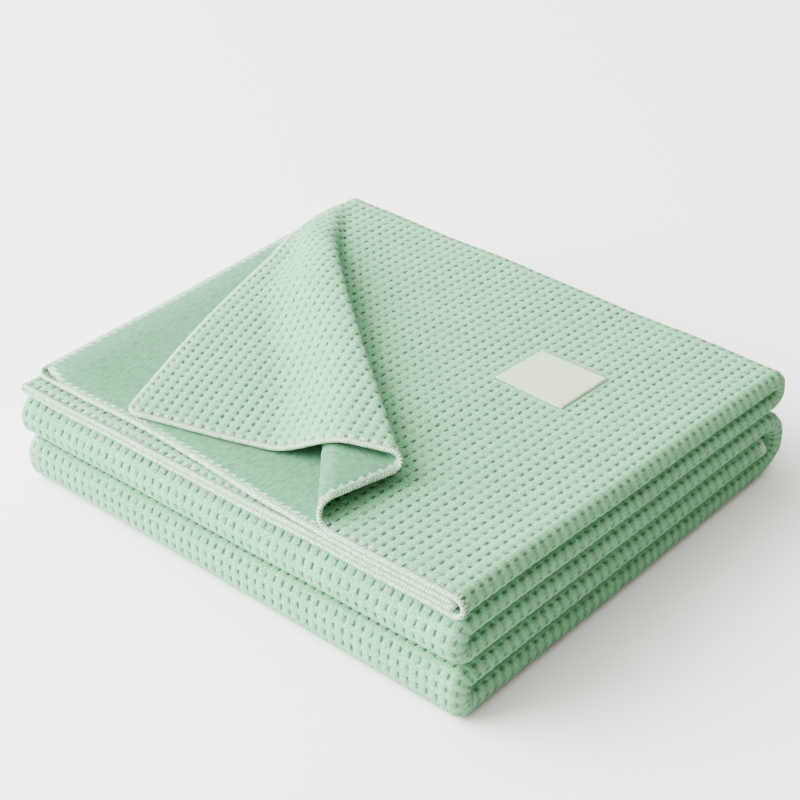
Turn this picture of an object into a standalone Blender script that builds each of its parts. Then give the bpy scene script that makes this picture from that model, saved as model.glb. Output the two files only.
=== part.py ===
"""A waffle weave blanket, folded in four across and in five along, with one top corner pulled back.

The cloth is one sheet. It is folded across first, into a strip of four layers, and the strip is
then folded along its length into five sections, one on the other. On top, the free corner is
pulled back to the right, so that the top layer doubles over itself in a tuck. A small woven label
is sewn on top. Metres, +Z up, with the stack's length along X and its front hems towards -Y.
"""

import math

import bmesh
import bpy
import numpy as np

# The cloth and the pitch of its layers.
CLOTH_THICKNESS = 0.0030
LAYER_PITCH = 0.0039
HALF_CLOTH = CLOTH_THICKNESS / 2

# The folded stack, before its corner is pulled back.
STACK_LENGTH = 0.375
STACK_DEPTH = 0.336
SECTION_HEIGHT = 4 * LAYER_PITCH

# Heights of the four layers above the middle of their strip.
OUTER_LAYER = 1.5 * LAYER_PITCH
INNER_LAYER = 0.5 * LAYER_PITCH

# Where the strip's layers end or turn, across the stack.
TOP_HEM_X = -0.1850
NEXT_HEM_X = -0.1860
LEFT_TURN_X = -STACK_LENGTH / 2 + INNER_LAYER + HALF_CLOTH
RIGHT_TURN_X = STACK_LENGTH / 2 - OUTER_LAYER - HALF_CLOTH
INNER_TURN_X = RIGHT_TURN_X - LAYER_PITCH

# Where the sections end or turn, along the stack. The last one is tucked into the third's turn.
SMALL_TURN = SECTION_HEIGHT / 2
WIDE_TURN = SECTION_HEIGHT
TURN_COVER = OUTER_LAYER + HALF_CLOTH
FRONT_HEM_Y = -STACK_DEPTH / 2 + HALF_CLOTH
FRONT_TURN_Y = -STACK_DEPTH / 2 + SMALL_TURN + TURN_COVER
BACK_TURN_Y = STACK_DEPTH / 2 - SMALL_TURN - TURN_COVER
WIDE_TURN_Y = STACK_DEPTH / 2 - WIDE_TURN - TURN_COVER
TUCKED_HEM_Y = WIDE_TURN_Y - CLOTH_THICKNESS

# Each line below runs from one stop to the next at one level, and turns over between levels.
ACROSS_STOPS = (TOP_HEM_X, RIGHT_TURN_X, LEFT_TURN_X, INNER_TURN_X, NEXT_HEM_X)
ACROSS_LEVELS = (OUTER_LAYER, -OUTER_LAYER, -INNER_LAYER, INNER_LAYER)
ALONG_STOPS = (FRONT_HEM_Y, BACK_TURN_Y, FRONT_TURN_Y, WIDE_TURN_Y, FRONT_TURN_Y, TUCKED_HEM_Y)
ALONG_LEVELS = tuple(SECTION_HEIGHT * place for place in (4.5, 3.5, 2.5, 0.5, 1.5))

# How far the second layer's front hem lies behind the others at the left, and where that ends.
HEM_SETBACK = 0.0120
SETBACK_END_X = 0.1000
SETBACK_FULL_X = -0.0900

# The four corners of the cloth are cut to a small round.
CORNER_ROUNDING = 0.0090
ROUNDING_FADE = 0.0270

# The tuck: both its creases run out from a point at the stack's back left corner. Between them the
# cloth lies turned over, so that the free corner lands to the right of where it was.
TUCK_POINT = (-0.1897, 0.1419)
CREASE_ANGLE = math.radians(49.4)
# The share of the reach that the creases lie apart, and the reach over which that sets in.
TUCK_SHARE = 0.176
TUCK_EASE = 0.222
# Cloth taken by the two turns, and how far past flat the part between them leans.
LOWER_TURN = 0.0272
UPPER_TURN = 0.0184
TUCK_LEAN = 1.0225
# Cloth that comes down again past the tuck, and how deep the tuck is before it rests on itself.
TUCK_FALL = 0.0580
FALL_SHARE = 0.42
STEEPEST_FALL = 0.85
REST_DEPTH = 0.0296
# How finely the tuck is worked out, and out to where.
LONGEST_REACH = 0.46
REACH_STEPS = 60
PROFILE_STEP = 0.0005
MOST_TURN = math.radians(230.0)
HALVINGS = 30

# How far the settled stack is shifted and lifted, first just over its lowest layer, which stays
# flat, then at the top of each section.
SETTLED_LEVELS = (
    # along x, along y at the front, along y at the back, lifts at front left, front right, back
    (0.0000, 0.0000, 0.0000, 0.0000, 0.0000, 0.0000),
    (0.0015, 0.0010, 0.0040, 0.0015, 0.0055, 0.0010),
    (0.0005, -0.0020, 0.0055, 0.0020, 0.0080, 0.0015),
    (0.0000, -0.0010, 0.0035, 0.0030, 0.0105, 0.0015),
    (0.0000, 0.0025, 0.0015, 0.0035, 0.0125, 0.0010),
    (0.0010, 0.0020, 0.0015, 0.0030, 0.0145, 0.0005),
)
# How far the front left corner of the whole stack is drawn in along x.
FRONT_LEFT_PULL = 0.0085
# The middle of the settled stack, and the height of its underside, before it is set on the origin.
STACK_CENTRE = (0.00053, 0.00203)
STACK_BASE = SECTION_HEIGHT / 2 - OUTER_LAYER - HALF_CLOTH

# The label, sewn flat on the top layer.
LABEL_LENGTH = 0.0535
LABEL_WIDTH = 0.0488
LABEL_THICKNESS = 0.0010
LABEL_CENTRE = (0.0811, 0.0496)
LABEL_TURN = math.radians(-1.0)
LABEL_GAP = 0.0004

# Mesh divisions.
TOP_PANEL_STEPS = 34
PANEL_STEPS = 3
OUTER_TURN_STEPS = 5
INNER_TURN_STEPS = 4
TOP_SECTION_STEPS = 20
# The lowest section has stations near both its ends, so that its underside is truly flat.
BASE_SHARES = (0.0, 0.02, 0.98)
SMALL_TURN_STEPS = 5
WIDE_TURN_STEPS = 7
LABEL_STEPS = 4
PANEL_SAMPLES = 500
SPACING_WEIGHT = 12.0
BEND_WINDOW = 15
ROUNDING_ERROR = 1e-9

MINT = (0.47, 0.70, 0.55, 1.0)
OFF_WHITE = (0.80, 0.81, 0.75, 1.0)


def turn_radius(levels, index):
    """Half the height between two levels that a line turns between."""
    return abs(levels[index + 1] - levels[index]) / 2


def stretch_starts(stops, levels, cover):
    """The distance along a folded line at which each straight run and each turn starts."""
    starts = [0.0]
    for index in range(len(levels)):
        starts.append(starts[-1] + abs(stops[index + 1] - stops[index]))
        if index + 1 < len(levels):
            starts.append(starts[-1] + math.pi * (turn_radius(levels, index) + cover))
    return starts


def folded_line(distance, stops, levels, cover):
    """Place, level and the two parts of the upward direction along a line folded back and forth."""
    starts = stretch_starts(stops, levels, cover)
    place, level, across, up = (np.zeros_like(distance) for _ in range(4))
    for index in range(len(levels)):
        heading = math.copysign(1.0, stops[index + 1] - stops[index])
        begins, ends = starts[2 * index], starts[2 * index + 1]
        straight = (distance >= begins - ROUNDING_ERROR) & (distance <= ends + ROUNDING_ERROR)
        place[straight] = stops[index] + heading * (distance[straight] - begins)
        level[straight] = levels[index]
        across[straight] = 0.0
        up[straight] = heading
        if index + 1 == len(levels):
            continue
        radius = turn_radius(levels, index)
        rising = math.copysign(1.0, levels[index + 1] - levels[index])
        turning = (distance > ends) & (distance < starts[2 * index + 2])
        angle = (distance[turning] - ends) / (radius + cover)
        place[turning] = stops[index + 1] + heading * radius * np.sin(angle)
        level[turning] = levels[index] + rising * radius * (1.0 - np.cos(angle))
        across[turning] = -rising * np.sin(angle)
        up[turning] = heading * np.cos(angle)
    return place, level, across, up


def smooth(share):
    """A soft step from 0 to 1."""
    share = np.clip(share, 0.0, 1.0)
    return share * share * (3.0 - 2.0 * share)


def tuck_depth(reach):
    """Distance between the tuck's two creases, measured in the cloth, this far from its point."""
    return TUCK_SHARE * reach * (1.0 - np.exp(-reach / TUCK_EASE))


def turned_angle(cloth, depth, turn):
    """The cloth's angle along a line across the tuck, over the lower turn and back at the upper one."""
    over = smooth((cloth + LOWER_TURN / 2) / LOWER_TURN)
    back = smooth((cloth - depth) / UPPER_TURN + 0.5)
    return turn * (over - back)


def solved_turn(cloth, depth):
    """How far the cloth turns for its two turns to shorten it by twice the tuck's depth."""
    low, high = 0.0, MOST_TURN
    for _ in range(HALVINGS):
        turn = (low + high) / 2
        taken = np.sum(1.0 - np.cos(turned_angle(cloth, depth, turn))) * PROFILE_STEP
        low, high = (turn, high) if taken < 2.0 * depth else (low, turn)
    return turn


def tuck_curve(reach):
    """Cloth distance, sideways place and height along one line across the tuck."""
    depth = tuck_depth(reach)
    start = -LOWER_TURN / 2
    fall_start = depth + UPPER_TURN / 2
    turns = np.arange(start, fall_start, PROFILE_STEP)
    angle = turned_angle(turns, depth, TUCK_LEAN * solved_turn(turns, depth))
    top = np.sum(np.sin(angle)) * PROFILE_STEP
    resting = np.zeros(int(max(0.0, depth - REST_DEPTH) / PROFILE_STEP))
    length = min(TUCK_FALL, FALL_SHARE * reach)
    share = np.arange(0.0, 1.0, PROFILE_STEP / length)
    slope = np.minimum(6.0 * share * (1.0 - share) * top / length, STEEPEST_FALL)
    ahead = np.concatenate([np.cos(angle), resting + 1.0, np.sqrt(1.0 - slope * slope)])
    rise = np.concatenate([np.sin(angle), resting, -slope])
    cloth = start + np.arange(len(ahead) + 1) * PROFILE_STEP
    sideways = start + np.concatenate([[0.0], np.cumsum(ahead)]) * PROFILE_STEP
    height = np.concatenate([[0.0], np.cumsum(rise)]) * PROFILE_STEP
    return cloth, sideways, height


def tuck_tables():
    """Sideways place and height for every reach and distance across the tuck, on a regular grid."""
    reaches = np.linspace(LONGEST_REACH / REACH_STEPS, LONGEST_REACH, REACH_STEPS)
    last = 2.0 * tuck_depth(LONGEST_REACH) + UPPER_TURN / 2 + TUCK_FALL
    distances = np.arange(-LOWER_TURN / 2, last, PROFILE_STEP)
    shift = np.zeros((REACH_STEPS, len(distances)))
    height = np.zeros_like(shift)
    for row, reach in enumerate(reaches):
        cloth, sideways, rise = tuck_curve(reach)
        shift[row] = np.interp(distances, cloth, cloth - sideways)
        height[row] = np.interp(distances, cloth, rise, right=0.0)
    return reaches, distances, shift, height


def read_table(table, row, column):
    """Values between the entries of a regular grid."""
    row = np.clip(row, 0.0, table.shape[0] - 1.001)
    column = np.clip(column, 0.0, table.shape[1] - 1.001)
    i, j = row.astype(int), column.astype(int)
    a, b = row - i, column - j
    upper = table[i, j] * (1 - b) + table[i, j + 1] * b
    lower = table[i + 1, j] * (1 - b) + table[i + 1, j + 1] * b
    return upper * (1 - a) + lower * a


def tucked(x, y, tables):
    """Moves points of the flat top layer to where the tuck takes them, and says how far they rise."""
    reaches, distances, shift, height = tables
    reach = np.hypot(x - TUCK_POINT[0], y - TUCK_POINT[1])
    angle = np.arctan2(TUCK_POINT[1] - y, x - TUCK_POINT[0])
    across = reach * (angle - CREASE_ANGLE)
    row = (reach - reaches[0]) / (reaches[1] - reaches[0])
    column = (across - distances[0]) / PROFILE_STEP
    inside = across > distances[0]
    moved = np.where(inside, read_table(shift, row, column), 0.0)
    rise = np.where(inside, read_table(height, row, column), 0.0)
    turned = angle - moved / reach
    new_x = TUCK_POINT[0] + reach * np.cos(turned)
    new_y = TUCK_POINT[1] - reach * np.sin(turned)
    return np.where(inside, new_x, x), np.where(inside, new_y, y), rise


def rounded_corners(u, v):
    """Draws the four corners of the flat cloth in to a small round, and gives the new v."""
    whole_u, whole_v = cloth_size()
    for distance_u in (u, whole_u - u):
        for from_start in (True, False):
            distance_v = v if from_start else whole_v - v
            near = np.clip(1.0 - distance_u / CORNER_ROUNDING, 0.0, 1.0)
            drawn_in = CORNER_ROUNDING * (1.0 - np.sqrt(1.0 - near * near))
            fade = np.clip(1.0 - distance_v / ROUNDING_FADE, 0.0, 1.0)
            v = v + drawn_in * fade * (1.0 if from_start else -1.0)
    return v


def set_back(u, x, v):
    """Draws back the second layer's front hem, most of all at the left."""
    share = smooth((SETBACK_END_X - x) / (SETBACK_END_X - SETBACK_FULL_X))
    fade = np.clip(1.0 - v / (BACK_TURN_Y - FRONT_HEM_Y), 0.0, 1.0)
    second = u > stretch_starts(ACROSS_STOPS, ACROSS_LEVELS, 0.0)[-2]
    return np.where(second, v + HEM_SETBACK * share * fade, v)


def settled(x, y, z):
    """Shifts and lifts the sections, as a pile of cloth does when it settles."""
    levels = np.arange(len(SETTLED_LEVELS)) * SECTION_HEIGHT
    levels[0] = LAYER_PITCH
    columns = [np.interp(z, levels, column) for column in zip(*SETTLED_LEVELS)]
    shift_x, front_shift, back_shift, left_lift, right_lift, back_lift = columns
    right = np.clip(x / STACK_LENGTH + 0.5, 0.0, 1.0)
    back = np.clip(y / STACK_DEPTH + 0.5, 0.0, 1.0)
    shift_x = shift_x + FRONT_LEFT_PULL * (1.0 - right) * (1.0 - back) ** 2
    shift_y = front_shift + (back_shift - front_shift) * back
    front_lift = left_lift + (right_lift - left_lift) * right
    lift = front_lift + (back_lift - front_lift) * back
    return x + shift_x - STACK_CENTRE[0], y + shift_y - STACK_CENTRE[1], z + lift - STACK_BASE


def cloth_size():
    """Width and length of the flat cloth."""
    width = stretch_starts(ACROSS_STOPS, ACROSS_LEVELS, 0.0)[-1]
    length = stretch_starts(ALONG_STOPS, ALONG_LEVELS, OUTER_LAYER)[-1]
    return width, length


def folded_cloth(u, v, tables):
    """Where points of the flat cloth lie in the folded stack, as an array of x, y, z."""
    v = rounded_corners(u, v)
    x, offset, _, _ = folded_line(u, ACROSS_STOPS, ACROSS_LEVELS, 0.0)
    v = set_back(u, x, v)
    section = BACK_TURN_Y - FRONT_HEM_Y
    top = (u <= RIGHT_TURN_X - TOP_HEM_X) & (v <= section)
    tuck_x, tuck_y, rise = tucked(x, FRONT_HEM_Y + v, tables)
    x = np.where(top, tuck_x, x)
    v = np.where(top, tuck_y - FRONT_HEM_Y, v)
    offset = np.where(top, offset + rise, offset)
    y, z, across, up = folded_line(v, ALONG_STOPS, ALONG_LEVELS, OUTER_LAYER)
    return np.stack(settled(x, y + offset * across, z + offset * up), axis=-1)


def evenly(start, end, steps):
    """Evenly spaced stations, without the last one."""
    return list(np.linspace(start, end, steps + 1)[:-1])


def line_stations(stops, levels, cover, run_shares, turn_steps):
    """Stations along a folded line: at these shares of each straight run, and more on each turn."""
    starts = stretch_starts(stops, levels, cover)
    stations = []
    for index, (begins, ends) in enumerate(zip(starts, starts[1:])):
        if index % 2:
            stations += evenly(begins, ends, turn_steps[index // 2])
        else:
            stations += [begins + (ends - begins) * share for share in run_shares[index // 2]]
    return np.array(stations + [starts[-1]])


def top_panel_stations(v, tables):
    """Stations across the top panel, crowded where this row of the cloth bends most."""
    u = np.linspace(0.0, RIGHT_TURN_X - TOP_HEM_X, PANEL_SAMPLES)
    points = folded_cloth(u, np.full_like(u, v), tables)
    steps = np.diff(points, axis=0)
    steps /= np.linalg.norm(steps, axis=1)[:, None]
    bends = np.linalg.norm(np.diff(steps, axis=0), axis=1)
    bends = np.convolve(bends, np.full(BEND_WINDOW, 1.0 / BEND_WINDOW), mode="same")
    weight = np.concatenate([[0.0], bends, [0.0]]) + SPACING_WEIGHT * (u[1] - u[0])
    gathered = np.cumsum(weight) - weight[0]
    return np.interp(np.linspace(0.0, gathered[-1], TOP_PANEL_STEPS + 1), gathered, u)


def evened_rows(rows):
    """Each row of stations averaged with its neighbours, so that no column jumps between rows."""
    evened = rows.copy()
    evened[1:-1] = (rows[:-2] + 2.0 * rows[1:-1] + rows[2:]) / 4.0
    return evened


def cloth_stations(tables):
    """Two arrays, u and v, with a row for each station along and a column for each one across."""
    eased = 0.5 - 0.5 * np.cos(math.pi * np.array(evenly(0.0, 1.0, TOP_SECTION_STEPS)))
    middle = (0.0, 0.5)
    along = line_stations(
        ALONG_STOPS,
        ALONG_LEVELS,
        OUTER_LAYER,
        (eased, middle, middle, BASE_SHARES, middle),
        (SMALL_TURN_STEPS, SMALL_TURN_STEPS, WIDE_TURN_STEPS, SMALL_TURN_STEPS),
    )
    across = line_stations(
        ACROSS_STOPS,
        ACROSS_LEVELS,
        0.0,
        (evenly(0.0, 1.0, TOP_PANEL_STEPS),) + (evenly(0.0, 1.0, PANEL_STEPS),) * 3,
        (OUTER_TURN_STEPS, INNER_TURN_STEPS, INNER_TURN_STEPS),
    )
    u = np.tile(across, (len(along), 1))
    v = np.tile(along[:, None], (1, len(across)))
    panel = np.array([top_panel_stations(v, tables) for v in along[:TOP_SECTION_STEPS]])
    u[:TOP_SECTION_STEPS, : TOP_PANEL_STEPS + 1] = evened_rows(evened_rows(panel))
    return u, v


def plain_material(name, colour, roughness):
    """A Principled material of one colour."""
    material = bpy.data.materials.new(name)
    material.use_nodes = True
    shader = material.node_tree.nodes["Principled BSDF"]
    shader.inputs["Base Color"].default_value = colour
    shader.inputs["Roughness"].default_value = roughness
    shader.inputs["Metallic"].default_value = 0.0
    return material


def sheet_object(name, points, thickness, material, collection):
    """A grid whose points are moved to the given rows of places, made solid."""
    rows, columns, _ = points.shape
    grid = bmesh.new()
    bmesh.ops.create_grid(grid, x_segments=columns - 1, y_segments=rows - 1, size=1.0)
    for vertex in grid.verts:
        column = round((vertex.co.x + 1.0) / 2.0 * (columns - 1))
        row = round((vertex.co.y + 1.0) / 2.0 * (rows - 1))
        vertex.co = points[row, column]
    mesh = bpy.data.meshes.new(name)
    grid.to_mesh(mesh)
    grid.free()
    mesh.materials.append(material)
    sheet = bpy.data.objects.new(name, mesh)
    collection.objects.link(sheet)
    solid = sheet.modifiers.new("thickness", "SOLIDIFY")
    solid.thickness = thickness
    solid.offset = 0.0
    mesh.shade_smooth()
    return sheet


def add_blanket(collection, tables):
    """The whole cloth, one closed solid."""
    u, v = cloth_stations(tables)
    points = folded_cloth(u.ravel(), v.ravel(), tables).reshape(u.shape + (3,))
    material = plain_material("mint cloth", MINT, 0.9)
    return sheet_object("blanket", points, CLOTH_THICKNESS, material, collection)


def add_label(collection):
    """The bare woven label, which follows the cloth under it."""
    share = np.linspace(-0.5, 0.5, LABEL_STEPS + 1)
    along, across = np.meshgrid(share * LABEL_LENGTH, share * LABEL_WIDTH)
    x = LABEL_CENTRE[0] + along * math.cos(LABEL_TURN) - across * math.sin(LABEL_TURN)
    y = LABEL_CENTRE[1] + along * math.sin(LABEL_TURN) + across * math.cos(LABEL_TURN)
    lift = HALF_CLOTH + LABEL_GAP + LABEL_THICKNESS / 2
    z = np.full_like(x, ALONG_LEVELS[0] + OUTER_LAYER + lift)
    points = np.stack(settled(x, y, z), axis=-1)
    material = plain_material("woven label", OFF_WHITE, 0.8)
    return sheet_object("label", points, LABEL_THICKNESS, material, collection)


def clear_scene():
    """Removes every object that the file opened with."""
    for item in list(bpy.data.objects):
        bpy.data.objects.remove(item, do_unlink=True)


def main():
    clear_scene()
    collection = bpy.data.collections.new("waffle_blanket")
    bpy.context.scene.collection.children.link(collection)
    add_blanket(collection, tuck_tables())
    add_label(collection)


main()
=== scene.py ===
"""The folded waffle weave blanket as it looks: waffle relief, fleece, overlocked hems and a label.

The cloth is one closed sheet on the folds of its solid. Its outer face carries the waffle weave's
pits wherever they can be seen, and its inner face is smooth fleece. Metres, +Z up.
"""

import math
import random

import bpy
import numpy as np
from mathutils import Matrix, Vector


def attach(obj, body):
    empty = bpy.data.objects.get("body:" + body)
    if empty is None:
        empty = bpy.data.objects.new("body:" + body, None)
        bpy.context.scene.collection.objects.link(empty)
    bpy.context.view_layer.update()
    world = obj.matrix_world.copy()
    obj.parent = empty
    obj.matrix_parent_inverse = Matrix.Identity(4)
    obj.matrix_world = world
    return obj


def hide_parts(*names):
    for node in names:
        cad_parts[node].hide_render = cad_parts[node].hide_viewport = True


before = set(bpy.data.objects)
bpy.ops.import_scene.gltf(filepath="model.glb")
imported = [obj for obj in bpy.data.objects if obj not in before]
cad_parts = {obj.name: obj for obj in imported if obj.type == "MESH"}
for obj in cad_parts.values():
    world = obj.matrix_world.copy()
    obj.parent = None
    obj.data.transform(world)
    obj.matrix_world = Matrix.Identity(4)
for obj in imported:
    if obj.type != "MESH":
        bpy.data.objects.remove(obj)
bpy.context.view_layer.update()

# The cloth and the pitch of its layers.
CLOTH_THICKNESS = 0.0030
LAYER_PITCH = 0.0039
HALF_CLOTH = CLOTH_THICKNESS / 2

# The folded stack.
STACK_LENGTH = 0.375
STACK_DEPTH = 0.336
SECTION_HEIGHT = 4 * LAYER_PITCH
OUTER_LAYER = 1.5 * LAYER_PITCH
INNER_LAYER = 0.5 * LAYER_PITCH
TOP_HEM_X = -0.1850
NEXT_HEM_X = -0.1860
LEFT_TURN_X = -STACK_LENGTH / 2 + INNER_LAYER + HALF_CLOTH
RIGHT_TURN_X = STACK_LENGTH / 2 - OUTER_LAYER - HALF_CLOTH
INNER_TURN_X = RIGHT_TURN_X - LAYER_PITCH
SMALL_TURN = SECTION_HEIGHT / 2
WIDE_TURN = SECTION_HEIGHT
TURN_COVER = OUTER_LAYER + HALF_CLOTH
FRONT_HEM_Y = -STACK_DEPTH / 2 + HALF_CLOTH
FRONT_TURN_Y = -STACK_DEPTH / 2 + SMALL_TURN + TURN_COVER
BACK_TURN_Y = STACK_DEPTH / 2 - SMALL_TURN - TURN_COVER
WIDE_TURN_Y = STACK_DEPTH / 2 - WIDE_TURN - TURN_COVER
TUCKED_HEM_Y = WIDE_TURN_Y - CLOTH_THICKNESS
ACROSS_STOPS = (TOP_HEM_X, RIGHT_TURN_X, LEFT_TURN_X, INNER_TURN_X, NEXT_HEM_X)
ACROSS_LEVELS = (OUTER_LAYER, -OUTER_LAYER, -INNER_LAYER, INNER_LAYER)
ALONG_STOPS = (FRONT_HEM_Y, BACK_TURN_Y, FRONT_TURN_Y, WIDE_TURN_Y, FRONT_TURN_Y, TUCKED_HEM_Y)
ALONG_LEVELS = tuple(SECTION_HEIGHT * place for place in (4.5, 3.5, 2.5, 0.5, 1.5))

# Hems and corners: the second layer's front hem is set back, and the corners are rounded.
HEM_SETBACK = 0.0120
SETBACK_END_X = 0.1000
SETBACK_FULL_X = -0.0900
CORNER_ROUNDING = 0.0090
ROUNDING_FADE = 0.0270
# The tuck: where its creases start, how deep it is, how its two turns bend the cloth, and how the
# cloth falls from its ridge back to the layer below.
TUCK_POINT = (-0.1897, 0.1419)
CREASE_ANGLE = math.radians(49.4)
TUCK_SHARE = 0.176
TUCK_EASE = 0.222
LOWER_TURN = 0.0272
UPPER_TURN = 0.0184
TUCK_LEAN = 1.0225
TUCK_FALL = 0.0580
REST_DEPTH = 0.0296
FALL_SHARE = 0.42
STEEPEST_FALL = 0.85
# How finely the tuck is worked out.
LONGEST_REACH = 0.46
REACH_STEPS = 60
PROFILE_STEP = 0.0005
MOST_TURN = math.radians(230.0)
HALVINGS = 30
# Guards: for a table's last cell, for rounding where a turn meets a run, and for division.
TABLE_END = 1.001
ROUNDING_ERROR = 1e-9
TINY = 1e-15

# How far the settled stack is shifted and lifted, just over its lowest layer and at the top of
# each section.
SETTLED_LEVELS = (
    # along x, along y at the front, along y at the back, lifts at front left, front right, back
    (0.0000, 0.0000, 0.0000, 0.0000, 0.0000, 0.0000),
    (0.0015, 0.0010, 0.0040, 0.0015, 0.0055, 0.0010),
    (0.0005, -0.0020, 0.0055, 0.0020, 0.0080, 0.0015),
    (0.0000, -0.0010, 0.0035, 0.0030, 0.0105, 0.0015),
    (0.0000, 0.0025, 0.0015, 0.0035, 0.0125, 0.0010),
    (0.0010, 0.0020, 0.0015, 0.0030, 0.0145, 0.0005),
)
# How far the front left corner of the whole stack is drawn in along x.
FRONT_LEFT_PULL = 0.0085
# The settled stack's middle and underside, which are brought to the origin, and its height.
STACK_CENTRE = (0.00053, 0.00203)
STACK_BASE = SECTION_HEIGHT / 2 - OUTER_LAYER - HALF_CLOTH
STACK_HEIGHT = 5 * SECTION_HEIGHT
# Uneven swells over the stack: share, waves along x and y in radians for each metre, phase.
SWELLS = ((0.45, 41.0, 13.0, 0.6), (0.35, -17.0, 29.0, 2.1), (0.25, 73.0, -31.0, 4.0))
SWELL_HEIGHT = 0.001

# The weave: the size of its cells, the depth of their pits, and how far a cell sinks from its
# edges to its middle.
CELL_WIDTH = 0.0071
CELL_LENGTH = 0.0076
PIT_DEPTH = 0.0014
CROWN = 0.00016
# Round the outer turn, at the right, pits are shallower and cells sink more, across and along.
TURN_PIT_SHARE = 0.60
TURN_CROWN = 0.00060
TURN_RIDGE = 0.00060
# Mesh stations in a weave cell, and the floor and slopes of its pit, as shares of the cell.
FINE_ACROSS = (0.0, 0.37, 0.50, 0.63)
FINE_ALONG = (0.20, 0.30, 0.70, 0.80)
PIT_FLOOR_ACROSS = (0.50, 0.50)
PIT_FLOOR_ALONG = (0.30, 0.70)
PIT_SLOPE_ACROSS = 0.13
PIT_SLOPE_ALONG = 0.10
# Weave cells in from a hem that shows on the third layer.
SHOWING_CELLS = 3
# Mesh steps where no pits show: on runs, on turns, and on the top panel's fleece.
COARSE_STEP = 0.0240
TURN_STEP_ACROSS = 0.0020
TURN_STEP_ALONG = 0.0060
FLEECE_STEP_ACROSS = 0.0035
FLEECE_STEP_ALONG = 0.0070
LEAST_ON_RUN = 2
LEAST_ON_TURN = 5
# Stations are rounded to this many decimals, so that blocks side by side share them.
DECIMALS = 9
# Half the distance over which the cloth's slope is measured.
NORMAL_STEP = 2e-5

# The hem threads. Stitches lie over the cloth's faces in teeth, each a little uneven.
STITCH_PITCH = 0.0020
STITCH_RADIUS = 0.00055
STITCH_SIDES = 5
STITCH_LIFTS = (0.0009, 0.0014, 0.0013, 0.0008)
STITCH_TAPER = np.array([1.0, 1.0, 0.9, 0.5])
STITCH_START = 0.0001
STITCH_REACH = 0.0030
TOOTH_REACH = 0.0034
REACH_UNEVEN = 0.0008
TOOTH_PITCH = 0.0076
STITCH_SLANT = 0.0004
SLANT_UNEVEN = 0.0008
# The cord on the rim swells and shrinks with each stitch.
CORD_RADIUS = 0.00140
CORD_MEAN = 0.95
CORD_LUMP = 0.13
CORD_UNEVEN = 0.00016
CORD_SIDES = 8
CORD_STATIONS = 3
CORD_INSET = 0.0002
HEM_END = 0.0005
# A line counts as steep when this much of its direction is upward.
STEEP = 0.9
SEED = 7

# Colours.
RIB_DARK = (0.040, 0.160, 0.078, 1.0)
RIB_LIGHT = (0.170, 0.620, 0.290, 1.0)
RIB_PALE = (0.225, 0.640, 0.330, 1.0)
# Painted shade for the outer turn at the right, which lies in shade: a darker olive.
RIB_TURN_PAINTED_SHADE = (0.100, 0.260, 0.115, 1.0)
RIB_FIBRE = (0.400, 0.800, 0.500, 1.0)
RIB_SPECK = (0.045, 0.170, 0.088, 1.0)
# Painted shade for the pits and for the furrows across the outer turn.
PIT_PAINTED_SHADE = (0.020, 0.066, 0.034, 1.0)
FLEECE_DARK = (0.017, 0.098, 0.046, 1.0)
FLEECE_PALE = (0.150, 0.470, 0.240, 1.0)
FLEECE_LIGHT = (0.056, 0.245, 0.115, 1.0)
THREAD_PALE = (0.44, 0.66, 0.48, 1.0)
THREAD_SHADE = (0.32, 0.52, 0.35, 1.0)
THREAD_LIGHT = (0.74, 0.86, 0.66, 1.0)
# The cloth's colour between the thread's turns, darkened with painted shade.
THREAD_GAP_CLOTH_AND_SHADE = (0.14, 0.34, 0.19, 1.0)
LABEL_SHADE = (0.40, 0.52, 0.35, 1.0)
LABEL_LIGHT = (0.50, 0.62, 0.43, 1.0)

# Surfaces. A noise has a scale, a detail and a roughness; levels are what a noise is stretched
# between; a spot has half a width and a soft edge, in cells; a bump has a height and a strength.
SPECULAR = 0.25
SHEEN = 0.10
CLOTH_ROUGHNESS = 0.95
WAFFLE_SHEEN_ROUGHNESS = 0.6
FLEECE_SHEEN_ROUGHNESS = 0.5
FUZZ_NOISE = (4.5, 5.0, 0.75)
FUZZ_LEVELS = (0.34, 0.60)
# Marks on the ribs: colour, stretch of the noise, noise, levels and the most that is mixed in.
RIB_LAYERS = (
    (RIB_PALE, (1.0, 1.0, 1.0), (0.30, 3.0, 0.5), (0.40, 0.70), 0.25),
    (RIB_SPECK, (1.0, 1.0, 1.0), (5.5, 6.0, 0.9), (0.44, 0.56), 0.50),
    (RIB_FIBRE, (1.0, 2.2, 1.0), (6.0, 3.0, 0.7), (0.50, 0.62), 0.65),
)
WANDER_NOISE = (1.7, 2.0, 0.5)
WANDER_ACROSS = 0.36
WANDER_ALONG = -0.25
# The painted shade in each pit: its size across and along, and the most of it that is mixed in.
PIT_SPOT_ACROSS = (0.06, 0.10)
PIT_SPOT_ALONG = (0.17, 0.14)
PIT_SHADE_SHARE = 0.90
# The outer turn: how many cells from its middle it starts to fade and ends, and its painted shade:
# a darker olive, lighter pit shade and shade in its furrows.
TURN_EXTENT = (0.9, 2.3)
TURN_SPOT_SHARE = 0.50
TURN_SHADE_SHARE = 0.45
FURROW_SPOT = (0.08, 0.20)
FURROW_SHARE = 0.30
YARN_NOISE = (26.0, 3.0, 0.6)
YARN_HEIGHT = 0.5
WAFFLE_BUMP = (0.0009, 0.9)
# Fleece: a long nap with fluff on it.
NAP_STRETCH = (2.6, 1.3, 1.0)
NAP_NOISE = (1.0, 5.0, 0.65)
NAP_LEVELS = (0.34, 0.66)
FLUFF_NOISE = (16.0, 3.0, 0.65)
FLUFF_LEVELS = (0.42, 0.66)
FLUFF_SHARE = 0.45
FLUFF_HEIGHT = 0.7
FLEECE_BUMP = (0.0010, 0.8)
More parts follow.
